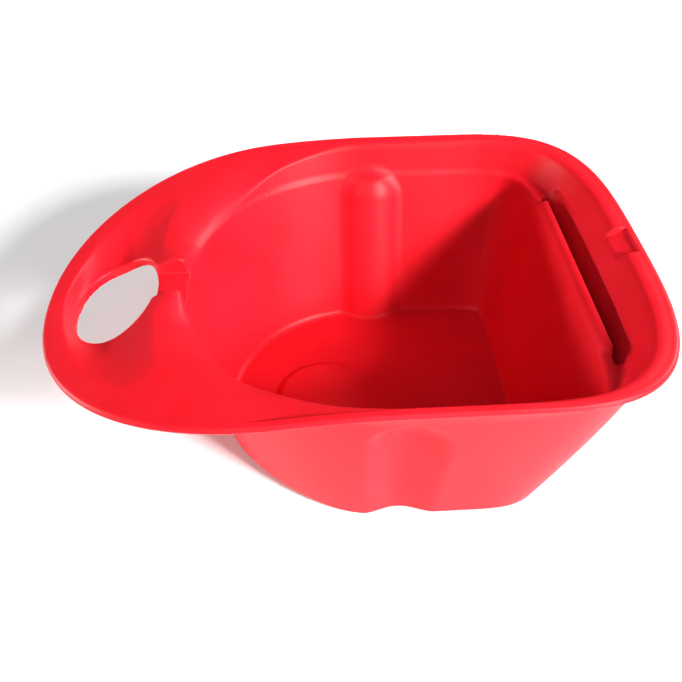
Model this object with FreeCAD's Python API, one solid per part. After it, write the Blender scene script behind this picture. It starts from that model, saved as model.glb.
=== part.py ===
import FreeCAD, Part
import math
import os

# A one-piece moulded bedpan, drawn as the regions that the moulding is made of.
# Frame: X runs from the handle (-X) to the front end (+X), Y is the width, Z is up.
# The origin is on the ground under the middle of the pan. Sizes are millimetres.

# Overall size
LENGTH = 280.0
HEIGHT = 100.0
RIM_HALF_WIDTH = 106.5
WALL = 3.0
DECK = 3.0

# Rim outline: the handle end is nearly an ellipse, the front end a rounded square
HANDLE_CENTRE_X = -28.0
HANDLE_POWER = 2.1
FRONT_CENTRE_X = 60.0
FRONT_POWER = 3.4
LIP_WIDTH = 3.5
LIP_DEPTH = 3.4

# Basin mouth at rim height, and basin floor
MOUTH_HALF_WIDTH = 100.5
MOUTH_HEEL_X = -76.0
MOUTH_FRONT_X = 130.5
FLOOR_HALF_WIDTH = 71.5
FLOOR_HEEL_X = -59.0
FLOOR_FRONT_X = 89.0
BASIN_HEEL_CENTRE_X = 20.0
BASIN_HEEL_POWER = 2.05
FLOOR_FRONT_CENTRE_X = 40.0
FLOOR_FRONT_POWER = 6.0
FOOT_SPREAD = 3.0
HEEL_THINNING = 1.2

# The deck droops along an arc from here to the handle tip
DROOP_START_X = 23.0
DROOP_RADIUS = 515.0
HANDLE_SPLIT_X = -20.0

# Thumb hole in its dished surround, tilted with the drooping deck
HOLE_X = -107.0
HOLE_HALF_LENGTH = 20.0
HOLE_HALF_WIDTH = 28.0
HOLE_POWER = 2.2
DISH_X = -94.0
DISH_BACK_X = -130.5
DISH_FRONT_X = -78.5
DISH_HALF_WIDTH = 70.0
DISH_POWER = 2.1
DISH_DEPTH = 9.0
DISH_MARGIN = 2.0
DISH_SKIN = 1.5

# Ridge between dish and basin, with the notch across it, and the notch in the front rim
RIDGE_FRONT_X = -70.0
RIDGE_BACK_X = -85.0
RIDGE_HALF_WIDTH = 26.0
HEEL_NOTCH_HALF_WIDTH = 11.5
HEEL_NOTCH_Z = 81.0
RIDGE_FLOOR = 4.0
FRONT_NOTCH_HALF_WIDTH = 9.5
FRONT_NOTCH_X = (128.5, 136.3)
FRONT_NOTCH_Z = (95.2, 98.5)
NOTCH_BED = 2.6

# Rounded upright rib in each side wall
RIB_X = 21.5
RIB_RADIUS = 22.0
RIB_PROUD = 6.5
RIB_TOP_Z = 81.0
GROOVE_LEAN = 0.215

# Sloping panel inside the front wall, its free-standing top edge and the slot behind it
PANEL_SLOPE = 0.235
LEDGE_Z = 83.0
FIN_TOP_Z = 86.0
FIN_FOOT_Z = 66.0
FIN_THICKNESS = 4.3
FIN_HALF_LENGTH = 61.0
FIN_CORNER = 5.5
SLOT_HALF_LENGTH = 66.0
SLOT_FOOT_Z = 40.0
SLOT_LIP_X = 121.0
SLOT_WALL_SLOPE = 0.3

# Raised round boss on the floor near the heel
BOSS_X = -8.0
BOSS_RADIUS = 28.0
BOSS_TOP_RADIUS = 23.0
BOSS_HEIGHT = 3.0

# Cutting aids
REACH = 200.0
END_POINTS = 13
ABOVE = 6.0

WALL_LEAN = (MOUTH_HALF_WIDTH - FLOOR_HALF_WIDTH) / (HEIGHT - WALL)
V = FreeCAD.Vector


def rounded_end(centre_x, reach, half_width, power, z, way):
    """One rounded end of an outline, as a curve from one side of the pan to the other."""
    points = []
    for step in range(END_POINTS):
        turn = math.pi / 2 - math.pi * step / (END_POINTS - 1)
        along = abs(math.cos(turn)) ** (2 / power)
        across = math.copysign(abs(math.sin(turn)) ** (2 / power), math.sin(turn))
        if step in (0, END_POINTS - 1):
            along = 0.0
        points.append(V(centre_x + way * reach * along, half_width * across, z))
    if way < 0:
        points.reverse()
    curve = Part.BSplineCurve()
    curve.interpolate(points)
    return curve.toShape()


def outline(heel_x, heel_centre, heel_power, front_x, front_centre, front_power, half_width, z):
    """Closed outline with straight sides between its rounded heel and front ends."""
    front = rounded_end(front_centre, front_x - front_centre, half_width, front_power, z, 1)
    heel = rounded_end(heel_centre, heel_centre - heel_x, half_width, heel_power, z, -1)
    right = Part.makeLine(V(front_centre, -half_width, z), V(heel_centre, -half_width, z))
    left = Part.makeLine(V(heel_centre, half_width, z), V(front_centre, half_width, z))
    return Part.Wire([front, right, heel, left])


def rim_outline(inset, z):
    """Outline of the rim and handle, drawn in by a distance."""
    tip = LENGTH / 2 - inset
    return outline(-tip, HANDLE_CENTRE_X, HANDLE_POWER, tip, FRONT_CENTRE_X, FRONT_POWER,
                   RIM_HALF_WIDTH - inset, z)


def basin_outline(z, front_x, grow, grow_heel):
    """Outline of the basin at a height, with its front end at front_x, grown outwards."""
    part_way = (z - WALL) / (HEIGHT - WALL)

    def between(at_floor, at_mouth):
        return at_floor + (at_mouth - at_floor) * part_way

    return outline(
        between(FLOOR_HEEL_X, MOUTH_HEEL_X) - grow_heel,
        BASIN_HEEL_CENTRE_X,
        BASIN_HEEL_POWER,
        front_x + grow,
        between(FLOOR_FRONT_CENTRE_X, FRONT_CENTRE_X),
        between(FLOOR_FRONT_POWER, FRONT_POWER),
        between(FLOOR_HALF_WIDTH, MOUTH_HALF_WIDTH) + grow,
        z,
    )


def inner_ring(z):
    """Inside of the basin: steep behind the slot, then flaring above the fin."""
    flare = (MOUTH_FRONT_X - SLOT_LIP_X) / (HEIGHT - FIN_TOP_Z)
    slope = flare if z > FIN_TOP_Z else SLOT_WALL_SLOPE
    return basin_outline(z, SLOT_LIP_X + slope * (z - FIN_TOP_Z), 0, 0)


def outer_ring(z):
    """Outside of the basin, which spreads towards its foot except at the heel."""
    slope = (MOUTH_FRONT_X - FLOOR_FRONT_X) / (HEIGHT - WALL)
    spread = FOOT_SPREAD * (1 - z / HEIGHT)
    return basin_outline(z, FLOOR_FRONT_X + slope * (z - WALL), WALL + spread,
                         WALL - HEEL_THINNING)


def box(x0, x1, y0, y1, z0, z1):
    return Part.makeBox(x1 - x0, y1 - y0, z1 - z0, V(x0, y0, z0))


def prism(wire, rise):
    return Part.Face(wire).extrude(V(0, 0, rise))


def droop_line(drop, x):
    """Height of the deck's top surface, offset downwards by a drop, at one X."""
    run = max(0.0, DROOP_START_X - x)
    radius = DROOP_RADIUS - drop
    return HEIGHT - drop - radius + math.sqrt(radius ** 2 - run ** 2)


def droop_edges(drop):
    """The deck's profile seen from the side: flat over the basin, an arc to the handle."""
    far_x = -LENGTH / 2 - ABOVE
    middle_x = (far_x + DROOP_START_X) / 2
    flat_end = V(LENGTH / 2 + ABOVE, -REACH, HEIGHT - drop)
    start = V(DROOP_START_X, -REACH, HEIGHT - drop)
    middle = V(middle_x, -REACH, droop_line(drop, middle_x))
    tip = V(far_x, -REACH, droop_line(drop, far_x))
    return [Part.makeLine(flat_end, start), Part.Arc(start, middle, tip).toShape()], flat_end, tip


def below_deck(drop):
    """Everything under the deck's top surface lowered by a drop."""
    edges, right, left = droop_edges(drop)
    low_left = V(left.x, -REACH, -ABOVE)
    low_right = V(right.x, -REACH, -ABOVE)
    edges.append(Part.makeLine(left, low_left))
    edges.append(Part.makeLine(low_left, low_right))
    edges.append(Part.makeLine(low_right, right))
    return Part.Face(Part.Wire(edges)).extrude(V(0, 2 * REACH, 0))


def oval(back, front, half_width, power, z):
    """Closed smooth oval round the Z axis, reaching its own distance back and front."""
    points = []
    for step in range(4 * END_POINTS):
        turn = 2 * math.pi * step / (4 * END_POINTS)
        along = math.copysign(abs(math.cos(turn)) ** (2 / power), math.cos(turn))
        across = math.copysign(abs(math.sin(turn)) ** (2 / power), math.sin(turn))
        reach = front if along > 0 else back
        points.append(V(reach * along, half_width * across, z))
    curve = Part.BSplineCurve()
    curve.interpolate(points, PeriodicFlag=True)
    return Part.Wire([curve.toShape()])


def dish_solid(grow, lower):
    """Tapered plug of the dished surround, in the tilted frame of the deck."""
    slope = math.asin((DROOP_START_X - DISH_X) / DROOP_RADIUS)

    def ring(z):
        part_way = 1 + z / DISH_DEPTH

        def between(at_foot, at_top):
            return at_foot + (at_top - at_foot) * part_way + grow

        return oval(
            between(DISH_X - HOLE_X + HOLE_HALF_LENGTH + DISH_MARGIN, DISH_X - DISH_BACK_X),
            between(HOLE_X - DISH_X + HOLE_HALF_LENGTH + DISH_MARGIN, DISH_FRONT_X - DISH_X),
            between(HOLE_HALF_WIDTH + DISH_MARGIN, DISH_HALF_WIDTH),
            DISH_POWER,
            z - lower,
        )

    plug = Part.makeLoft([ring(-DISH_DEPTH), ring(ABOVE)], True, True)
    plug.rotate(V(0, 0, 0), V(0, 1, 0), -math.degrees(slope))
    plug.translate(V(DISH_X, 0, droop_line(0, DISH_X)))
    return plug


def rib_tool(side, radius, lean):
    """Round-topped upright bar whose surface stands proud of the inside of a side wall."""
    set_back = (RIB_RADIUS - RIB_PROUD) * math.hypot(1, WALL_LEAN)
    arch = math.sqrt(RIB_RADIUS ** 2 - (RIB_RADIUS - RIB_PROUD) ** 2)
    top_z = RIB_TOP_Z - arch
    top = V(RIB_X, FLOOR_HALF_WIDTH + WALL_LEAN * (top_z - WALL) + set_back, top_z)
    foot = top - V(0, lean, 1) * (top_z + ABOVE)
    bar = Part.makeCylinder(radius, (top - foot).Length, foot, top - foot)
    bar = bar.fuse(Part.makeSphere(radius, top))
    if side < 0:
        bar = bar.mirror(V(0, 0, 0), V(0, 1, 0))
    return bar


def panel_solid(set_back, z0, z1):
    """Everything in front of the sloping panel's face, moved forward by a set-back."""
    corners = []
    for z in (z0, z1):
        corners.append(V(FLOOR_FRONT_X + PANEL_SLOPE * (z - WALL) + set_back, -REACH, z))
    corners.append(V(REACH, -REACH, z1))
    corners.append(V(REACH, -REACH, z0))
    corners.append(corners[0])
    return Part.Face(Part.makePolygon(corners)).extrude(V(0, 2 * REACH, 0))


def notch_wedge(lower, back_x, grow):
    """Wedge of the notch in the front rim, from its sloping foot up past the deck."""
    low_z, high_z = FRONT_NOTCH_Z
    low_x, high_x = FRONT_NOTCH_X
    slope = (high_z - low_z) / (high_x - low_x)
    half_width = FRONT_NOTCH_HALF_WIDTH + grow
    front_x = high_x + grow
    corners = [
        V(back_x, -half_width, low_z + slope * (back_x - low_x) - lower),
        V(front_x, -half_width, low_z + slope * (front_x - low_x) - lower),
        V(front_x, -half_width, HEIGHT + ABOVE),
        V(back_x, -half_width, HEIGHT + ABOVE),
    ]
    corners.append(corners[0])
    return Part.Face(Part.makePolygon(corners)).extrude(V(0, 2 * half_width, 0))


def cut_all(shape, tools):
    for tool in tools:
        shape = shape.cut(tool)
    return shape


def save(name, shape):
    shape = shape.removeSplitter()
    if len(shape.Solids) == 1:
        shape = shape.Solids[0]
    box_now = shape.BoundBox
    print(f"{name:16s} solids {len(shape.Solids)} valid {shape.isValid()} "
          f"volume {shape.Volume / 1000:8.2f} cm3  "
          f"X {box_now.XMin:.1f}..{box_now.XMax:.1f} Y {box_now.YMin:.1f}..{box_now.YMax:.1f} "
          f"Z {box_now.ZMin:.1f}..{box_now.ZMax:.1f}")
    shape.exportStep(f"parts/{name}.step")


def main():
    os.makedirs("parts", exist_ok=True)

    # Tools shared by several regions
    inner = Part.makeLoft([inner_ring(WALL), inner_ring(FIN_TOP_Z)], True, True)
    inner = inner.fuse(Part.makeLoft([inner_ring(FIN_TOP_Z), inner_ring(HEIGHT + ABOVE)],
                                     True, True))
    outer = Part.makeLoft([outer_ring(0), outer_ring(HEIGHT + ABOVE)], True, True)
    under_deck = below_deck(DECK)
    deck_layer = below_deck(0).cut(under_deck)
    lip_layer = below_deck(0).cut(below_deck(LIP_DEPTH))
    dish_in = dish_solid(0, 0)
    dish_out = dish_solid(DISH_SKIN, DECK)
    hole = prism(oval(HOLE_HALF_LENGTH, HOLE_HALF_LENGTH, HOLE_HALF_WIDTH, HOLE_POWER, 0), HEIGHT)
    hole.translate(V(HOLE_X, 0, 0))
    heel_notch = box(RIDGE_BACK_X - ABOVE, RIDGE_FRONT_X + ABOVE, -HEEL_NOTCH_HALF_WIDTH,
                     HEEL_NOTCH_HALF_WIDTH, HEEL_NOTCH_Z, HEIGHT)
    front_notch = notch_wedge(0, FRONT_NOTCH_X[0] - ABOVE, 0)
    ribs = {side: rib_tool(side, RIB_RADIUS, WALL_LEAN) for side in (1, -1)}
    grooves = {side: rib_tool(side, RIB_RADIUS - WALL, GROOVE_LEAN) for side in (1, -1)}

    # Ridge behind the heel of the basin
    ridge_block = box(RIDGE_BACK_X, RIDGE_FRONT_X, -RIDGE_HALF_WIDTH, RIDGE_HALF_WIDTH,
                      HEEL_NOTCH_Z - RIDGE_FLOOR, HEIGHT)
    ridge = cut_all(ridge_block.common(below_deck(0)), [dish_in, inner, heel_notch])
    save("heel_ridge", ridge)

    # Walls of the basin, cut apart by upright planes
    shell = outer.common(under_deck).cut(inner)
    floor_layer = box(-REACH, REACH, -REACH, REACH, 0, WALL)
    walls = cut_all(shell, [floor_layer, ribs[1], ribs[-1]])
    heel_zone = box(-REACH, HANDLE_SPLIT_X, -REACH, REACH, 0, HEIGHT)
    front_zone = box(FLOOR_FRONT_X, REACH, -REACH, REACH, 0, HEIGHT)
    left_zone = box(HANDLE_SPLIT_X, FLOOR_FRONT_X, 0, REACH, 0, HEIGHT)
    right_zone = box(HANDLE_SPLIT_X, FLOOR_FRONT_X, -REACH, 0, 0, HEIGHT)
    save("heel_wall", cut_all(walls.common(heel_zone), [dish_out, ridge_block]))
    save("left_side_wall", walls.common(left_zone))
    save("right_side_wall", walls.common(right_zone))
    bed = notch_wedge(NOTCH_BED, SLOT_LIP_X, NOTCH_BED).common(under_deck)
    bed = bed.common(prism(rim_outline(LIP_WIDTH, 0), REACH)).cut(inner)
    save("front_wall", walls.common(front_zone).fuse(bed).cut(front_notch))

    # Floor with its boss, and the hollow ribs
    save("basin_floor", cut_all(outer.common(floor_layer), [ribs[1], ribs[-1]]))
    boss = Part.makeCone(BOSS_RADIUS, BOSS_TOP_RADIUS, BOSS_HEIGHT, V(BOSS_X, 0, WALL))
    save("floor_boss", boss)
    for side, name in ((1, "left_side_rib"), (-1, "right_side_rib")):
        skin = ribs[side].cut(grooves[side]).common(outer).common(under_deck)
        save(name, skin)

    # Sloping panel, fin and the slot behind them
    slot = panel_solid(FIN_THICKNESS, SLOT_FOOT_Z, HEIGHT).common(
        box(0, REACH, -SLOT_HALF_LENGTH, SLOT_HALF_LENGTH, 0, HEIGHT))
    fin_shape = box(0, REACH, -FIN_HALF_LENGTH, FIN_HALF_LENGTH, FIN_FOOT_Z, FIN_TOP_Z)
    top_ends = [edge for edge in fin_shape.Edges
                if edge.BoundBox.XLength > FIN_THICKNESS and edge.BoundBox.ZMin > FIN_FOOT_Z
                and edge.BoundBox.YLength < FIN_THICKNESS]
    fin_shape = fin_shape.makeFillet(FIN_CORNER, top_ends)
    fin = panel_solid(0, FIN_FOOT_Z, FIN_TOP_Z).common(fin_shape)
    fin = fin.cut(panel_solid(FIN_THICKNESS, WALL, HEIGHT))
    save("splash_fin", fin)
    wedge = panel_solid(0, WALL, LEDGE_Z).common(inner)
    save("splash_panel", cut_all(wedge, [slot, fin]))

    # Deck: rim round the basin, handle, dished thumb-hole surround and outer lip
    plate = deck_layer.common(prism(rim_outline(LIP_WIDTH, 0), REACH)).cut(inner)
    save("rim_flange", plate.common(box(HANDLE_SPLIT_X, REACH, -REACH, REACH, 0, REACH))
         .cut(front_notch))
    handle = plate.common(box(-REACH, HANDLE_SPLIT_X, -REACH, REACH, 0, REACH))
    save("handle_deck", cut_all(handle, [dish_out, ridge_block]))
    dish = dish_out.common(below_deck(0)).common(prism(rim_outline(LIP_WIDTH, 0), REACH))
    save("thumb_dish", cut_all(dish, [dish_in, hole, ridge_block, inner]))
    lip_ring = prism(rim_outline(0, 0), REACH).cut(prism(rim_outline(LIP_WIDTH, 0), REACH))
    save("rim_lip", lip_ring.common(lip_layer))


main()
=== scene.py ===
import math

import bmesh
import bpy
import numpy as np
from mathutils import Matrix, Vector


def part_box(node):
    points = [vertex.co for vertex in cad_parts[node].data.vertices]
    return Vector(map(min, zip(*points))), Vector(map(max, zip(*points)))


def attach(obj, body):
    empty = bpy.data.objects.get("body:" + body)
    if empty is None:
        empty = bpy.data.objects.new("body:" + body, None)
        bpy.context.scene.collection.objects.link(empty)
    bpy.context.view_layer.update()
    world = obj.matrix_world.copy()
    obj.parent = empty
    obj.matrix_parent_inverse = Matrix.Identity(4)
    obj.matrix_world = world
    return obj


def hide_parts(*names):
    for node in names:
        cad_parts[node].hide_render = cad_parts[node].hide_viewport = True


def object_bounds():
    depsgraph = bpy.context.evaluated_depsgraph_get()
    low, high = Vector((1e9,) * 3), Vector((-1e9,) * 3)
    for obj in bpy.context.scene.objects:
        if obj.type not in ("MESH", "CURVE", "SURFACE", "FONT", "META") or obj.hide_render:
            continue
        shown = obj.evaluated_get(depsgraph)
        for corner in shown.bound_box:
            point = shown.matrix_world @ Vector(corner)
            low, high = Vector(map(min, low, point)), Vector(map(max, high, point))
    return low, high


# The looks of a one-piece moulded bedpan. The moulding is described as a field in
# millimetres, negative inside the plastic, and meshed from it. Pieces are in metres.

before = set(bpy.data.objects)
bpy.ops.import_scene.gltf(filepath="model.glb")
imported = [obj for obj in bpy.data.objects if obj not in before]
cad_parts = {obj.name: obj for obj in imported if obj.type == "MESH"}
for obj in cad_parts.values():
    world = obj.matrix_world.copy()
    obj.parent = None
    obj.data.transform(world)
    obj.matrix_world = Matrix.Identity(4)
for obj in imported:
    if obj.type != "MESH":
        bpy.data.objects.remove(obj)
cad_low, cad_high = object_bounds()

MM = 0.001
CELL = 1.2


def node_box(name):
    """Lowest and highest corner of a CAD node, in millimetres."""
    low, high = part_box(name)
    return low / MM, high / MM


# Overall size and the places of the main features, from the frame
TIP_X = cad_high.x / MM
HALF_WIDTH = cad_high.y / MM
RIM_Z = cad_high.z / MM
FLOOR_Z = node_box("basin_floor")[1].z
FIN_HIGH = node_box("splash_fin")[1]
BOSS_LOW, BOSS_HIGH = node_box("floor_boss")
PANEL_LOW, PANEL_HIGH = node_box("splash_panel")
RIDGE_LOW, RIDGE_HIGH = node_box("heel_ridge")
WALL = 3.1
DECK = 3.2

# Upright planes that cut the moulding into pieces
FRONT_CUT_SET_BACK = 4.0
HEEL_CUT_X = node_box("rim_flange")[0].x
FRONT_CUT_X = PANEL_LOW.x - FRONT_CUT_SET_BACK

# Rim outline
HANDLE_CENTRE_X = -28.0
HANDLE_POWER = 2.1
FRONT_CENTRE_X = 60.0
FRONT_POWER = 3.4
LIP_WIDTH = 3.5
LIP_DEPTH = 3.4
LIP_COVER = 2.3
LIP_STEP = 0.06
LIP_OUTER_ROUND = 1.7
LIP_TOP_ROUND = 0.15
LIP_FOOT_ROUND = 0.5

# Basin, at its floor and at its mouth. Pairs named BACK are where a change starts and
# ends, measured back from the origin towards the handle.
MOUTH_HALF_WIDTH = 100.2
MOUTH_HEEL_X = -76.0
MOUTH_FRONT_X = 130.5
FLOOR_HALF_WIDTH = 71.5
FLOOR_HEEL_X = -59.0
HEEL_CENTRE_X = 20.0
HEEL_POWER = 2.05
FLOOR_FRONT_X = 89.0
FLOOR_FRONT_CENTRE_X = 40.0
FLOOR_FRONT_POWER = 6.0
WALL_SLANT = 0.958
BASE_ROUND = 3.5
HEEL_BASE_ROUND = 8.0
FOOT_SPREAD = 3.0
HEEL_THINNING = 1.2
TOE_X = (-45.0, 5.0)
FLOOR_ROUND = 2.0
HEEL_FLOOR_ROUND = 3.5
HEEL_FLOOR_BACK = (-20.0, 30.0)
MOUTH_ROUND = 1.1
RIM_JOIN_ROUND = 6.0

# Bevel of the mouth: its width and depth at the sides, less at the front, more at the heel
BEVEL_WIDTH = 2.2
BEVEL_WIDTH_FRONT_CUT = 1.0
BEVEL_WIDTH_HEEL_GAIN = 6.0
BEVEL_WIDTH_BACK = (-10.0, 40.0)
BEVEL_DEPTH = 2.8
BEVEL_DEPTH_FRONT_CUT = 1.6
BEVEL_DEPTH_HEEL_GAIN = 8.0
BEVEL_DEPTH_BACK = (25.0, 60.0)
BEVEL_FRONT_X = (50.0, 100.0)
BEVEL_OFF_RIDGE_Y = (8.0, 33.0)
BEVEL_SOFTNESS = 1.2

# Deck that droops to the handle, its thumb hole and dish
DROOP_START_X = 23.0
DROOP_RADIUS = 515.0
DECK_SLANT = 0.97
HOLE_X = -107.0
HOLE_HALF_LENGTH = 20.0
HOLE_HALF_WIDTH = 28.0
HOLE_POWER = 2.2
HOLE_ROUND = 1.3
DISH_X = -92.0
DISH_BACK = 39.0
DISH_FRONT = 13.0
DISH_HALF_WIDTH = 71.0
DISH_BACK_POWER = 1.7
DISH_FRONT_POWER = 5.0
DISH_DEPTH = 9.0
DISH_EDGE_SOFT = 0.8
DISH_EDGE_TRIM = 0.016
DISH_BEND = 1.7
DISH_FADE_X = (-112.0, -80.0)
DISH_FRONT_LOSS = 0.85
DISH_THICKENING = 0.25

# Ridge and notches
RIDGE_TAIL = 4.0
RIDGE_ROUND = 3.0
HEEL_NOTCH_HALF_WIDTH = 11.5
HEEL_NOTCH_Z = 81.0
NOTCH_ROUND = 0.8
FRONT_NOTCH_HALF_WIDTH = 9.5
FRONT_NOTCH_X = (128.5, 136.3)
FRONT_NOTCH_Z = (95.5, 98.8)
FRONT_NOTCH_REACH = 8.0
FRONT_NOTCH_FOOT_ROUND = 0.5
FRONT_NOTCH_EDGE_ROUND = 0.6
BED_MARGIN = 2.5
BED_DEPTH = 2.6
BED_ROUND = 3.0

# Ribs
RIB_X = 21.5
RIB_RADIUS = 22.0
RIB_PROUD = 6.5
RIB_TOP_Z = 81.0
RIB_LEAN = 0.299
RIB_FOOT_ROUND = 2.5
GROOVE_LEAN = 0.215
GROOVE_EDGE_ROUND = 4.0

# Panel, fin, slot
PANEL_SLOPE = 0.235
CORNER_ROUND = 4.0
CORNER_ROUND_HIGH = 14.0
CORNER_HIGH_Z = 65.0
FIN_THICKNESS = 4.3
FIN_CORNER = 5.5
FIN_FRONT_ROUND = 3.4
FIN_BACK_ROUND = 0.6
FIN_FOOT_ROUND = 1.2
SLOT_HALF_LENGTH = 66.0
SLOT_FOOT_Z = 40.0
SLOT_LIP_X = 121.0
SLOT_WALL_SLOPE = 0.3
SLOT_LIP_ROLL = 2.6
SLOT_OVER_FIN = 1.0
SLOT_CORNER = 1.5
SLOT_EDGE_ROUND = 1.0
RECESS_SLOPE = 0.9
RECESS_TOP_SLOPE = -0.35
RECESS_CORNER = 7.0
RECESS_EDGE_ROUND = 1.2
LEDGE_Z = 83.0
LEDGE_CORNER = 1.5
LEDGE_EDGE_ROUND = 2.5

# Boss on the floor, steep towards the heel and fading towards the front
BOSS_FLANK = 5.0
BOSS_RAMP = (-0.4, 0.9)
BOSS_SINK = 0.05
BOSS_ROOT = 1.0

# Studio, in metres
FLOOR_GAP = 0.0002
FLOOR_HALF_SIZE = 4.0
BACKDROP_RADIUS = 5.0
CAMERA_AIM = Vector((-0.0009, -0.0075, 0.0))


def smooth_step(value, low, high):
    """Rises smoothly from 0 at low to 1 at high."""
    t = np.clip((value - low) / (high - low), 0.0, 1.0)
    return t * t * (3.0 - 2.0 * t)


def join(a, b, radius):
    """Union of two fields, with a fillet of a radius in the corner."""
    u = np.maximum(radius - a, 0.0)
    v = np.maximum(radius - b, 0.0)
    return np.maximum(radius, np.minimum(a, b)) - np.hypot(u, v)


def meet(a, b, radius):
    """Intersection of two fields, with its edge rounded to a radius."""
    return -join(-a, -b, radius)


def outline(x, y, heel, front, half_width):
    """Distance outside two superellipse ends joined by straight sides.

    heel and front are each the end's furthest x, its centre's x and its power."""
    heel_x, heel_centre, heel_power = heel
    front_x, front_centre, front_power = front
    at_front = x > front_centre
    at_heel = x < heel_centre
    reach = np.where(at_front, front_x - front_centre, heel_centre - heel_x)
    away = np.where(at_front, x - front_centre, np.where(at_heel, heel_centre - x, 0.0))
    power = np.where(at_front, front_power, heel_power)
    u = away / reach
    v = np.abs(y) / half_width
    size = np.maximum((u ** power + v ** power) ** (1.0 / power), 1e-6)
    slope_u = (u / size) ** (power - 1.0) / reach
    slope_v = (v / size) ** (power - 1.0) / half_width
    return (size - 1.0) / np.maximum(np.hypot(slope_u, slope_v), 1e-6)


def rim_outline(x, y):
    """Distance outside the rim and handle."""
    heel = (-TIP_X, HANDLE_CENTRE_X, HANDLE_POWER)
    front = (TIP_X, FRONT_CENTRE_X, FRONT_POWER)
    return outline(x, y, heel, front, HALF_WIDTH)


def basin_outline(x, y, z, front_x):
    """Distance outside the slanting basin wall, with its front end at front_x."""
    part_way = (z - FLOOR_Z) / (RIM_Z - FLOOR_Z)

    def between(at_floor, at_mouth):
        return at_floor + (at_mouth - at_floor) * part_way

    heel = (between(FLOOR_HEEL_X, MOUTH_HEEL_X), HEEL_CENTRE_X, HEEL_POWER)
    front = (front_x, between(FLOOR_FRONT_CENTRE_X, FRONT_CENTRE_X),
             np.maximum(between(FLOOR_FRONT_POWER, FRONT_POWER), FRONT_POWER))
    half_width = between(FLOOR_HALF_WIDTH, MOUTH_HALF_WIDTH)
    return outline(x, y, heel, front, half_width) * WALL_SLANT


def droop(x):
    """Height of the deck's arc before the dish is pressed into it."""
    run = np.maximum(0.0, DROOP_START_X - x)
    return RIM_Z - DROOP_RADIUS + np.sqrt(DROOP_RADIUS ** 2 - run ** 2)


def hole_outline(x, y):
    """Distance outside the thumb hole."""
    end = (HOLE_X - HOLE_HALF_LENGTH, HOLE_X, HOLE_POWER)
    other = (HOLE_X + HOLE_HALF_LENGTH, HOLE_X, HOLE_POWER)
    return outline(x, y, end, other, HOLE_HALF_WIDTH)


def dish_depth(x, y):
    """How far the dish is pressed into the deck: steep at its edge, level by the hole."""
    back = (DISH_X - DISH_BACK, DISH_X, DISH_BACK_POWER)
    front = (DISH_X + DISH_FRONT, DISH_X, DISH_FRONT_POWER)
    edge = outline(x, y, back, front, DISH_HALF_WIDTH)
    inside = 0.5 * (-edge + np.sqrt(edge ** 2 + DISH_EDGE_SOFT ** 2)) - DISH_EDGE_TRIM
    inside = np.maximum(inside, 0.0)
    outside_hole = np.maximum(hole_outline(x, y), 0.0)
    part_way = inside / (inside + outside_hole + 1e-6)
    shallower = 1.0 - DISH_FRONT_LOSS * smooth_step(x, *DISH_FADE_X)
    return DISH_DEPTH * shallower * (1.0 - (1.0 - part_way) ** DISH_BEND)


def rib(x, y, z, radius, lean):
    """Round-topped upright bar in each side wall, its foot leaning in."""
    wall_lean = (MOUTH_HALF_WIDTH - FLOOR_HALF_WIDTH) / (RIM_Z - FLOOR_Z)
    tilt = math.hypot(1.0, lean)
    arch = math.sqrt(RIB_RADIUS ** 2 - (RIB_RADIUS - RIB_PROUD) ** 2)
    centre_z = RIB_TOP_Z - arch
    set_back = (RIB_RADIUS - RIB_PROUD) * math.hypot(1.0, wall_lean)
    centre_y = FLOOR_HALF_WIDTH + wall_lean * (centre_z - FLOOR_Z) + set_back
    outward = np.abs(y) - centre_y
    upward = z - centre_z
    along = np.maximum((outward * lean + upward) / tilt, 0.0)
    across = (outward - upward * lean) / tilt
    return np.sqrt((x - RIB_X) ** 2 + across ** 2 + along ** 2) - radius


def panel_face(x, z):
    """Distance past the sloping panel's face, towards the front end."""
    return (x - FLOOR_FRONT_X - PANEL_SLOPE * (z - FLOOR_Z)) / math.hypot(1.0, PANEL_SLOPE)


def front_wall_x(z):
    """Front end of the funnel above the slot, and of the steeper slot below it."""
    funnel = (MOUTH_FRONT_X - SLOT_LIP_X) / (RIM_Z - FIN_HIGH.z)
    over = z - FIN_HIGH.z
    bend = 0.5 * (over + np.sqrt(over ** 2 + SLOT_LIP_ROLL ** 2))
    return SLOT_LIP_X + SLOT_WALL_SLOPE * over + (funnel - SLOT_WALL_SLOPE) * bend


def splash_fin(x, y, z):
    """The upright fin along the panel's top, thick and well rounded on its basin side."""
    face = panel_face(x, z)
    past_y = np.abs(y) - (FIN_HIGH.y - FIN_CORNER)
    past_z = z - (FIN_HIGH.z - FIN_CORNER)
    edge = np.hypot(np.maximum(past_y, 0.0), np.maximum(past_z, 0.0)) - FIN_CORNER
    edge = edge + np.minimum(np.maximum(past_y, past_z), 0.0)
    return meet(meet(-face, edge, FIN_FRONT_ROUND), face - FIN_THICKNESS, FIN_BACK_ROUND)


def slot_space(x, y, z, wall):
    """The slot behind the fin, kept at its full width to its ends by a recess."""
    side = np.abs(y) - SLOT_HALF_LENGTH
    behind = FIN_THICKNESS - panel_face(x, z)
    over = z - FIN_HIGH.z
    slot = meet(meet(behind, side, SLOT_CORNER), wall, SLOT_CORNER)
    slot = np.maximum(slot, np.maximum(SLOT_FOOT_Z - z, over - SLOT_OVER_FIN))

    far_side = SLOT_LIP_X + np.where(over > 0.0, RECESS_TOP_SLOPE, RECESS_SLOPE) * over
    recess = np.maximum(meet(x - far_side, side, RECESS_CORNER), behind)
    return join(slot, recess, RECESS_EDGE_ROUND)


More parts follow.
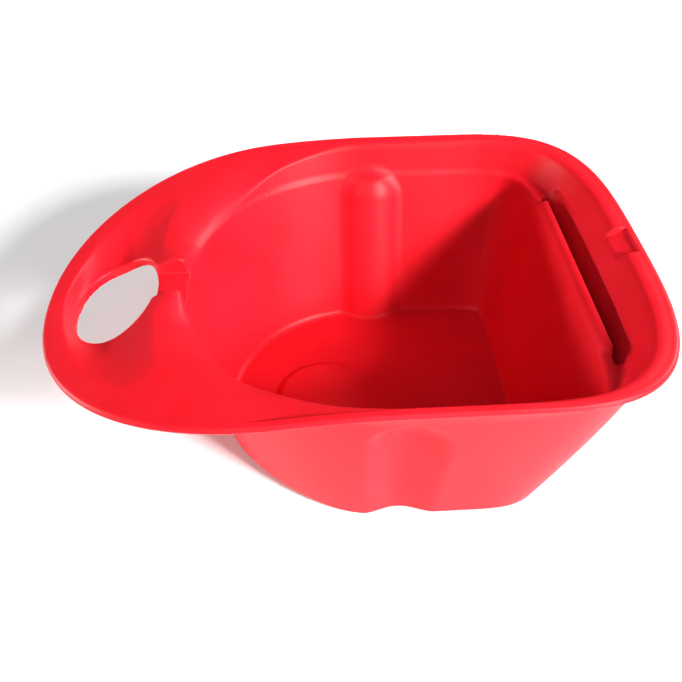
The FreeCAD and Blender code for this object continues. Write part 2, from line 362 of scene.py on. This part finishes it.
def cavity(x, y, z):
    """The basin, with the ledge and fin across its front and the slot behind them."""
    wall = basin_outline(x, y, z, front_wall_x(z))
    wall = meet(wall, -rib(x, y, z, RIB_RADIUS, RIB_LEAN), RIB_FOOT_ROUND)
    rounder = smooth_step(z, FLOOR_Z, CORNER_HIGH_Z)
    corner = CORNER_ROUND + (CORNER_ROUND_HIGH - CORNER_ROUND) * rounder
    basin = meet(wall, panel_face(x, z), corner)
    basin = join(basin, meet(wall, LEDGE_Z - z, LEDGE_CORNER), LEDGE_EDGE_ROUND)
    basin = join(basin, slot_space(x, y, z, wall), SLOT_EDGE_ROUND)
    basin = meet(basin, -splash_fin(x, y, z), FIN_FOOT_ROUND)
    at_heel = smooth_step(-x, *HEEL_FLOOR_BACK)
    floor_round = FLOOR_ROUND + (HEEL_FLOOR_ROUND - FLOOR_ROUND) * at_heel
    return meet(basin, FLOOR_Z - z, floor_round)


def outer_wall(x, y, z):
    """Outside of the basin, which spreads towards its foot except at the heel."""
    part_way = (z - FLOOR_Z) / (RIM_Z - FLOOR_Z)
    front_x = FLOOR_FRONT_X + (MOUTH_FRONT_X - FLOOR_FRONT_X) * part_way
    foot = 1.0 - np.clip(z / RIM_Z, 0.0, 1.0)
    toe = smooth_step(x, *TOE_X)
    spread = FOOT_SPREAD * foot * toe - HEEL_THINNING * (1.0 - toe)
    outer = basin_outline(x, y, z, front_x) - WALL - spread
    groove = rib(x, y, z, RIB_RADIUS - WALL, GROOVE_LEAN)
    outer = meet(outer, -groove, GROOVE_EDGE_ROUND)
    return meet(outer, -z, HEEL_BASE_ROUND + (BASE_ROUND - HEEL_BASE_ROUND) * toe)


def bevelled_deck(x, y, deck_top, space):
    """Everything under the deck's top, which rolls down into the basin's mouth."""
    off_ridge = smooth_step(np.abs(y), *BEVEL_OFF_RIDGE_Y)
    front = smooth_step(x, *BEVEL_FRONT_X)
    heel_width = BEVEL_WIDTH_HEEL_GAIN * smooth_step(-x, *BEVEL_WIDTH_BACK) * off_ridge
    heel_depth = BEVEL_DEPTH_HEEL_GAIN * smooth_step(-x, *BEVEL_DEPTH_BACK) * off_ridge
    width = BEVEL_WIDTH - BEVEL_WIDTH_FRONT_CUT * front + heel_width
    depth = BEVEL_DEPTH - BEVEL_DEPTH_FRONT_CUT * front + heel_depth
    bevel = (depth * (width - space) + width * deck_top) / np.hypot(depth, width)
    return meet(deck_top, bevel, BEVEL_SOFTNESS * width)


def ridge_block(x, y, z):
    """Block under the deck between the thumb hole and the basin."""
    ends = np.maximum(x - RIDGE_HIGH.x, RIDGE_LOW.x - RIDGE_TAIL - x)
    return np.maximum(ends, np.maximum(np.abs(y) - RIDGE_HIGH.y, RIDGE_LOW.z - z))


def front_notch_foot(x, z):
    """Height of the front notch's sloping foot above a point."""
    fall = (FRONT_NOTCH_Z[1] - FRONT_NOTCH_Z[0]) / (FRONT_NOTCH_X[1] - FRONT_NOTCH_X[0])
    return FRONT_NOTCH_Z[0] + fall * (x - FRONT_NOTCH_X[0]) - z


def front_notch_bed(x, y, z, edge_line):
    """Thickening under the front notch, so that it doesn't break through the rim."""
    side = np.abs(y) - FRONT_NOTCH_HALF_WIDTH - BED_MARGIN
    bed = np.maximum(side, front_notch_foot(x, z) - BED_DEPTH)
    return np.maximum(np.maximum(bed, edge_line), PANEL_HIGH.x - x)


def heel_notch(x, y, z):
    """Notch across the ridge, open to the thumb hole and to the basin."""
    notch = meet(np.abs(y) - HEEL_NOTCH_HALF_WIDTH, HEEL_NOTCH_Z - z, NOTCH_ROUND)
    return np.maximum(np.maximum(notch, x - RIDGE_HIGH.x), HOLE_X - x)


def front_notch(x, y, z):
    """Notch in the front rim, open to the basin."""
    sides = meet(np.abs(y) - FRONT_NOTCH_HALF_WIDTH, x - FRONT_NOTCH_X[1], NOTCH_ROUND)
    notch = meet(sides, front_notch_foot(x, z), FRONT_NOTCH_FOOT_ROUND)
    return np.maximum(notch, FRONT_NOTCH_X[0] - FRONT_NOTCH_REACH - x)


def moulding(x, y, z):
    """The whole moulding except its outer lip: negative inside the plastic."""
    depth = dish_depth(x, y)
    edge_line = rim_outline(x, y) + LIP_WIDTH - LIP_COVER
    deck_top = (z - droop(x) + depth + LIP_STEP) * DECK_SLANT
    space = cavity(x, y, z)
    opened = bevelled_deck(x, y, deck_top, space)

    plate = np.maximum(edge_line, -opened - DECK - DISH_THICKENING * depth)
    body = join(outer_wall(x, y, z), plate, RIM_JOIN_ROUND)
    body = join(body, ridge_block(x, y, z), RIDGE_ROUND)
    body = join(body, front_notch_bed(x, y, z, edge_line), BED_ROUND)
    body = meet(body, -hole_outline(x, y), HOLE_ROUND)

    opened = meet(opened, -space, MOUTH_ROUND)
    opened = meet(opened, -hole_outline(x, y), HOLE_ROUND)
    solid = np.maximum(body, opened)
    solid = meet(solid, -heel_notch(x, y, z), NOTCH_ROUND)
    return meet(solid, -front_notch(x, y, z), FRONT_NOTCH_EDGE_ROUND)


def surface_net(low, high, cell):
    """Quads of the moulding's surface, one corner in each grid cell that it crosses."""
    xs = np.arange(low[0], high[0] + cell, cell)
    ys = np.arange(0.5 * cell, high[1] + cell, cell)
    zs = np.arange(low[2], high[2] + cell, cell)
    grid = np.meshgrid(xs, ys, zs, indexing="ij")
    half = moulding(*grid)
    values = np.concatenate([half[:, ::-1], half], axis=1)
    ys = np.concatenate([-ys[::-1], ys])
    axes = (xs, ys, zs)
    inside = values < 0.0

    cells = tuple(n - 1 for n in values.shape)
    total = np.zeros(cells + (3,))
    count = np.zeros(cells)
    crossings = []
    for axis in range(3):
        near = [slice(None)] * 3
        far = [slice(None)] * 3
        near[axis] = slice(None, -1)
        far[axis] = slice(1, None)
        a = values[tuple(near)]
        b = values[tuple(far)]
        crossed = inside[tuple(near)] != inside[tuple(far)]
        where = np.argwhere(crossed)
        part_way = (a / np.where(crossed, a - b, 1.0))[crossed]
        points = np.stack([axes[k][where[:, k]] for k in range(3)], axis=1)
        points[:, axis] += part_way * cell
        others = [k for k in range(3) if k != axis]
        inner = np.all([(where[:, k] > 0) & (where[:, k] < cells[k]) for k in others], axis=0)
        where = where[inner]
        points = points[inner]
        crossings.append((axis, others, where, inside[tuple(near)][tuple(where.T)]))
        for step in ((0, 0), (0, 1), (1, 0), (1, 1)):
            index = where.copy()
            index[:, others[0]] -= step[0]
            index[:, others[1]] -= step[1]
            np.add.at(total, tuple(index.T), points)
            np.add.at(count, tuple(index.T), 1.0)

    used = count > 0
    number = np.full(cells, -1)
    number[used] = np.arange(used.sum())
    corners = total[used] / count[used][:, None]

    quads = []
    for axis, others, where, starts_inside in crossings:
        ring = []
        for step in ((0, 0), (1, 0), (1, 1), (0, 1)):
            index = where.copy()
            index[:, others[0]] -= step[0]
            index[:, others[1]] -= step[1]
            ring.append(number[tuple(index.T)])
        ring = np.stack(ring, axis=1)
        flip = starts_inside if axis == 1 else ~starts_inside
        ring[flip] = ring[flip][:, ::-1]
        quads.append(ring)
    return corners, np.concatenate(quads)


def field_slope(points, reach):
    """Gradient of the moulding's field, from differences over a reach."""
    slope = np.zeros_like(points)
    for axis in range(3):
        step = np.zeros(3)
        step[axis] = reach
        ahead = points + step
        back = points - step
        slope[:, axis] = (moulding(*ahead.T) - moulding(*back.T)) / (2.0 * reach)
    return slope


def settle(points, cell):
    """Moves points onto the surface by short steps along the field's slope."""
    rounds = 4
    reach = 0.05
    least_steepness = 0.05
    longest_move = 0.4 * cell
    for _ in range(rounds):
        value = moulding(*points.T)
        slope = field_slope(points, reach)
        steepness = np.maximum((slope ** 2).sum(axis=1), least_steepness)
        move = slope * (value / steepness)[:, None]
        length = np.maximum(np.linalg.norm(move, axis=1), 1e-9)
        points = points - move * np.minimum(1.0, longest_move / length)[:, None]
    return points


def plastic():
    """Satin red moulded plastic with faint build-up lines across its height."""
    material = bpy.data.materials.new("pan_plastic_red")
    material.use_nodes = True
    nodes = material.node_tree.nodes
    links = material.node_tree.links
    shader = nodes["Principled BSDF"]
    shader.inputs["IOR"].default_value = 1.46
    shader.inputs["Specular IOR Level"].default_value = 0.16
    shader.inputs["Subsurface Weight"].default_value = 0.25
    shader.inputs["Subsurface Radius"].default_value = (1.0, 0.06, 0.04)
    shader.inputs["Subsurface Scale"].default_value = 0.004

    place = nodes.new("ShaderNodeTexCoord")

    patches = nodes.new("ShaderNodeTexNoise")
    patches.inputs["Scale"].default_value = 28.0
    patches.inputs["Detail"].default_value = 3.0
    links.new(place.outputs["Object"], patches.inputs["Vector"])

    tint = nodes.new("ShaderNodeValToRGB")
    tint.color_ramp.elements[0].position = 0.3
    tint.color_ramp.elements[0].color = (0.58, 0.006, 0.013, 1.0)
    tint.color_ramp.elements[1].position = 0.7
    tint.color_ramp.elements[1].color = (0.63, 0.008, 0.018, 1.0)
    links.new(patches.outputs["Fac"], tint.inputs["Fac"])
    links.new(tint.outputs["Color"], shader.inputs["Base Color"])

    gloss = nodes.new("ShaderNodeMapRange")
    gloss.inputs["To Min"].default_value = 0.36
    gloss.inputs["To Max"].default_value = 0.46
    links.new(patches.outputs["Fac"], gloss.inputs["Value"])
    links.new(gloss.outputs["Result"], shader.inputs["Roughness"])

    lines = nodes.new("ShaderNodeTexWave")
    lines.wave_type = "BANDS"
    lines.bands_direction = "Z"
    lines.wave_profile = "SIN"
    lines.inputs["Scale"].default_value = 1000.0
    lines.inputs["Distortion"].default_value = 0.6
    lines.inputs["Detail"].default_value = 1.0
    links.new(place.outputs["Object"], lines.inputs["Vector"])

    bump = nodes.new("ShaderNodeBump")
    bump.inputs["Strength"].default_value = 0.18
    bump.inputs["Distance"].default_value = 0.0001
    links.new(lines.outputs["Fac"], bump.inputs["Height"])
    links.new(bump.outputs["Normal"], shader.inputs["Normal"])
    return material


def new_piece(name, corners, faces, material):
    """A mesh piece from corners in millimetres."""
    mesh = bpy.data.meshes.new(name)
    mesh.from_pydata((corners * MM).tolist(), [], faces.tolist())
    mesh.update()
    mesh.materials.append(material)
    piece = bpy.data.objects.new(name, mesh)
    bpy.context.scene.collection.objects.link(piece)
    return piece


def finish_piece(piece, *stands_for):
    """Fixes a piece to the pan's body in place of the CAD nodes that it stands for."""
    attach(piece, "root")
    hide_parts(*stands_for)


def cut_piece(name, corners, quads, material, low_x, high_x):
    """The stretch of the moulding between two upright planes, closed at its cuts."""
    piece = new_piece(name, corners, quads, material)
    work = bmesh.new()
    work.from_mesh(piece.data)
    for plane_x, way in ((low_x, -1.0), (high_x, 1.0)):
        if plane_x is None:
            continue
        result = bmesh.ops.bisect_plane(
            work, geom=work.verts[:] + work.edges[:] + work.faces[:], dist=1e-7,
            plane_co=(plane_x * MM, 0.0, 0.0), plane_no=(way, 0.0, 0.0), clear_outer=True)
        edges = [part for part in result["geom_cut"] if isinstance(part, bmesh.types.BMEdge)]
        bmesh.ops.triangle_fill(work, use_beauty=True, edges=edges, normal=(way, 0.0, 0.0))
    work.to_mesh(piece.data)
    work.free()
    shade_by_field(piece.data, [x for x in (low_x, high_x) if x is not None])
    return piece


def shade_by_field(mesh, cut_planes):
    """Smooth normals from the field itself, and flat ones on the cut faces."""
    reach = 0.3
    tolerance = 0.002
    upright = 0.999
    count = len(mesh.vertices)
    points = np.empty(count * 3)
    mesh.vertices.foreach_get("co", points)
    points = points.reshape(-1, 3) / MM
    slope = field_slope(points, reach)
    slope /= np.maximum(np.linalg.norm(slope, axis=1), 1e-9)[:, None]
    corner_vertex = np.empty(len(mesh.loops), int)
    mesh.loops.foreach_get("vertex_index", corner_vertex)
    normals = slope[corner_vertex]
    on_plane = [np.abs(points[:, 0] - x) < tolerance for x in cut_planes]
    for polygon in mesh.polygons:
        polygon.use_smooth = True
        if abs(polygon.normal.x) > upright:
            for flat in on_plane:
                if all(flat[v] for v in polygon.vertices):
                    for loop in polygon.loop_indices:
                        normals[loop] = polygon.normal
    mesh.normals_split_custom_set(normals.tolist())


def ring_points(inset, steps):
    """Points round the rim outline, drawn in by a distance, evenly spaced."""
    turn = np.linspace(0.0, 2.0 * math.pi, steps * 8, endpoint=False)
    front = np.cos(turn) > 0.0
    power = np.where(front, FRONT_POWER, HANDLE_POWER)
    reach = np.where(front, TIP_X - FRONT_CENTRE_X, TIP_X + HANDLE_CENTRE_X) - inset
    centre = np.where(front, FRONT_CENTRE_X, HANDLE_CENTRE_X)
    x = centre + np.sign(np.cos(turn)) * reach * np.abs(np.cos(turn)) ** (2.0 / power)
    y = np.sign(np.sin(turn)) * (HALF_WIDTH - inset) * np.abs(np.sin(turn)) ** (2.0 / power)
    x = np.append(x, x[0])
    y = np.append(y, y[0])
    travel = np.concatenate([[0.0], np.cumsum(np.hypot(np.diff(x), np.diff(y)))])
    wanted = np.linspace(0.0, travel[-1], steps, endpoint=False)
    return np.stack([np.interp(wanted, travel, x), np.interp(wanted, travel, y)], axis=1)


def lip_section():
    """Rounded section of the lip as insets from the outer edge and drops from the deck."""
    arc_steps = 6
    corners = (
        (LIP_OUTER_ROUND, LIP_OUTER_ROUND, LIP_OUTER_ROUND, 180.0),
        (LIP_WIDTH - LIP_TOP_ROUND, LIP_TOP_ROUND, LIP_TOP_ROUND, 90.0),
        (LIP_WIDTH - LIP_FOOT_ROUND, LIP_DEPTH - LIP_FOOT_ROUND, LIP_FOOT_ROUND, 0.0),
        (LIP_OUTER_ROUND, LIP_DEPTH - LIP_OUTER_ROUND, LIP_OUTER_ROUND, -90.0),
    )
    section = []
    for inset, drop, radius, start in corners:
        for step in range(arc_steps + 1):
            angle = math.radians(start - 90.0 / arc_steps * step)
            section.append((inset + radius * math.cos(angle), drop - radius * math.sin(angle)))
    return section


def make_lip(material):
    """The lip round the outer edge, swept as one closed ring."""
    steps = 720
    base = ring_points(0.0, steps)
    ahead = np.roll(base, -1, axis=0) - np.roll(base, 1, axis=0)
    ahead /= np.linalg.norm(ahead, axis=1)[:, None]
    inward = np.stack([-ahead[:, 1], ahead[:, 0]], axis=1)
    section = lip_section()
    rows = []
    for inset, drop in section:
        flat = base + inward * inset
        rows.append(np.column_stack([flat, droop(flat[:, 0]) - drop]))
    corners = np.concatenate(rows)
    faces = []
    for row in range(len(section)):
        after = (row + 1) % len(section)
        for step in range(steps):
            beyond = (step + 1) % steps
            faces.append((row * steps + step, row * steps + beyond,
                          after * steps + beyond, after * steps + step))
    piece = new_piece("rim_bead", corners, np.array(faces), material)
    work = bmesh.new()
    work.from_mesh(piece.data)
    bmesh.ops.recalc_face_normals(work, faces=work.faces)
    work.to_mesh(piece.data)
    work.free()
    piece.data.shade_smooth()
    return piece


def make_boss(material):
    """Low round pad on the floor, closed underneath by a root sunk in the floor."""
    centre_x = 0.5 * (BOSS_LOW.x + BOSS_HIGH.x)
    radius = 0.5 * (BOSS_HIGH.x - BOSS_LOW.x)
    rings = 28
    spokes = 120

    def top_point(part, turn):
        x = radius * part * math.cos(turn)
        y = radius * part * math.sin(turn)
        flank = smooth_step(radius * (1.0 - part), 0.0, BOSS_FLANK)
        ramp = 1.0 - smooth_step(x, BOSS_RAMP[0] * radius, BOSS_RAMP[1] * radius)
        height = (BOSS_HIGH.z - FLOOR_Z) * flank * ramp
        return (centre_x + x, y, FLOOR_Z - BOSS_SINK + height)

    turns = [2.0 * math.pi * spoke / spokes for spoke in range(spokes)]
    points = [top_point(ring / rings, turn) for ring in range(1, rings + 1) for turn in turns]
    top = len(points)
    points.append(top_point(0.0, 0.0))
    low = len(points)
    for turn in turns:
        points.append((centre_x + radius * math.cos(turn), radius * math.sin(turn),
                       FLOOR_Z - BOSS_ROOT))
    bottom = len(points)
    points.append((centre_x, 0.0, FLOOR_Z - BOSS_ROOT))

    faces = []
    outer = (rings - 1) * spokes
    for spoke in range(spokes):
        beyond = (spoke + 1) % spokes
        faces.append((top, spoke, beyond))
        for here in range(0, outer, spokes):
            further = here + spokes
            faces.append((here + spoke, further + spoke, further + beyond, here + beyond))
        faces.append((outer + spoke, low + spoke, low + beyond, outer + beyond))
        faces.append((bottom, low + beyond, low + spoke))
    mesh = bpy.data.meshes.new("boss_pad")
    mesh.from_pydata([tuple(value * MM for value in point) for point in points], [], faces)
    mesh.update()
    mesh.shade_smooth()
    mesh.materials.append(material)
    piece = bpy.data.objects.new("boss_pad", mesh)
    bpy.context.scene.collection.objects.link(piece)
    return piece


def make_floor():
    """Plain pale floor that the pan stands on."""
    mesh = bpy.data.meshes.new("studio_floor")
    work = bmesh.new()
    bmesh.ops.create_grid(work, x_segments=8, y_segments=8, size=FLOOR_HALF_SIZE)
    work.to_mesh(mesh)
    work.free()
    floor = bpy.data.objects.new("studio_floor", mesh)
    floor.location.z = -FLOOR_GAP
    bpy.context.scene.collection.objects.link(floor)
    material = bpy.data.materials.new("pale_floor")
    material.use_nodes = True
    nodes = material.node_tree.nodes
    shader = nodes["Principled BSDF"]
    shader.inputs["Roughness"].default_value = 0.9
    shader.inputs["Specular IOR Level"].default_value = 0.1
    place = nodes.new("ShaderNodeTexCoord")
    mottle = nodes.new("ShaderNodeTexNoise")
    mottle.inputs["Scale"].default_value = 6.0
    tint = nodes.new("ShaderNodeValToRGB")
    tint.color_ramp.elements[0].color = (0.80, 0.80, 0.80, 1.0)
    tint.color_ramp.elements[1].color = (0.83, 0.83, 0.83, 1.0)
    links = material.node_tree.links
    links.new(place.outputs["Object"], mottle.inputs["Vector"])
    links.new(mottle.outputs["Fac"], tint.inputs["Fac"])
    links.new(tint.outputs["Color"], shader.inputs["Base Color"])
    mesh.materials.append(material)


def make_backdrop():
    """Pale dome far round the scene, which neither lights nor shades anything."""
    mesh = bpy.data.meshes.new("studio_backdrop")
    work = bmesh.new()
    bmesh.ops.create_uvsphere(work, u_segments=48, v_segments=24, radius=BACKDROP_RADIUS)
    work.to_mesh(mesh)
    work.free()
    backdrop = bpy.data.objects.new("studio_backdrop", mesh)
    bpy.context.scene.collection.objects.link(backdrop)
    material = bpy.data.materials.new("pale_backdrop")
    material.use_nodes = True
    shader = material.node_tree.nodes["Principled BSDF"]
    shader.inputs["Base Color"].default_value = (0.0, 0.0, 0.0, 1.0)
    shader.inputs["Emission Color"].default_value = (0.92, 0.92, 0.92, 1.0)
    shader.inputs["Emission Strength"].default_value = 1.0
    mesh.materials.append(material)
    backdrop.visible_diffuse = False
    backdrop.visible_glossy = False
    backdrop.visible_transmission = False
    backdrop.visible_shadow = False


def add_camera(target):
    """Camera looking down across the pan from its right side."""
    lens = 44.868
    pitch = math.radians(41.557)
    yaw = math.radians(-3.485)
    distance = 0.4193
    forward = Vector((-math.sin(yaw) * math.cos(pitch), math.cos(yaw) * math.cos(pitch),
                      -math.sin(pitch)))
    data = bpy.data.cameras.new("view")
    data.sensor_width = 36.0
    data.lens = lens
    data.clip_start = 0.01
    camera = bpy.data.objects.new("view", data)
    camera.location = target - forward * distance
    camera.rotation_euler = (math.pi / 2 - pitch, 0.0, yaw)
    bpy.context.scene.collection.objects.link(camera)
    bpy.context.scene.camera = camera


def add_light(name, place, target, size, power):
    """Soft rectangular light aimed at a point."""
    data = bpy.data.lights.new(name, "AREA")
    data.shape = "RECTANGLE"
    data.size = size[0]
    data.size_y = size[1]
    data.energy = power
    light = bpy.data.objects.new(name, data)
    light.location = place
    light.rotation_euler = (target - Vector(place)).to_track_quat("-Z", "Y").to_euler()
    bpy.context.scene.collection.objects.link(light)


def add_world():
    """Faint even light from all round."""
    world = bpy.data.worlds.new("studio")
    world.use_nodes = True
    background = world.node_tree.nodes["Background"]
    background.inputs["Color"].default_value = (1.0, 1.0, 1.0, 1.0)
    background.inputs["Strength"].default_value = 0.11
    bpy.context.scene.world = world
    bpy.context.scene.view_settings.view_transform = "Standard"


# The grid reaches past the pan on every side
grid_low = (-TIP_X - CELL, 0.0, -1.5 * CELL)
grid_high = (TIP_X + CELL, HALF_WIDTH + CELL, RIM_Z + 2.0 * CELL)
corners, quads = surface_net(grid_low, grid_high, CELL)
corners = settle(corners, CELL)

red = plastic()
handle_end = cut_piece("handle_end", corners, quads, red, None, HEEL_CUT_X)
middle = cut_piece("basin_middle", corners, quads, red, HEEL_CUT_X, FRONT_CUT_X)
front_end = cut_piece("front_end", corners, quads, red, FRONT_CUT_X, None)
finish_piece(handle_end, "heel_wall", "handle_deck", "thumb_dish", "heel_ridge")
finish_piece(middle, "basin_floor", "left_side_wall", "right_side_wall", "left_side_rib",
             "right_side_rib", "rim_flange")
finish_piece(front_end, "front_wall", "splash_panel", "splash_fin")
finish_piece(make_lip(red), "rim_lip")
finish_piece(make_boss(red), "floor_boss")

make_floor()
make_backdrop()
centre = 0.5 * (cad_low + cad_high)
add_camera(centre + CAMERA_AIM)
add_light("key", (1.44, -1.54, 1.17), centre, (0.5, 0.5), 160.0)
add_light("fill", (-1.0, -1.6, 1.7), centre, (1.0, 1.0), 18.0)
add_light("low", (-2.0, 0.4, 0.20), centre, (0.6, 0.14), 36.0)
add_light("back", (1.6, 1.0, 1.2), centre, (0.4, 0.4), 36.0)
add_world()
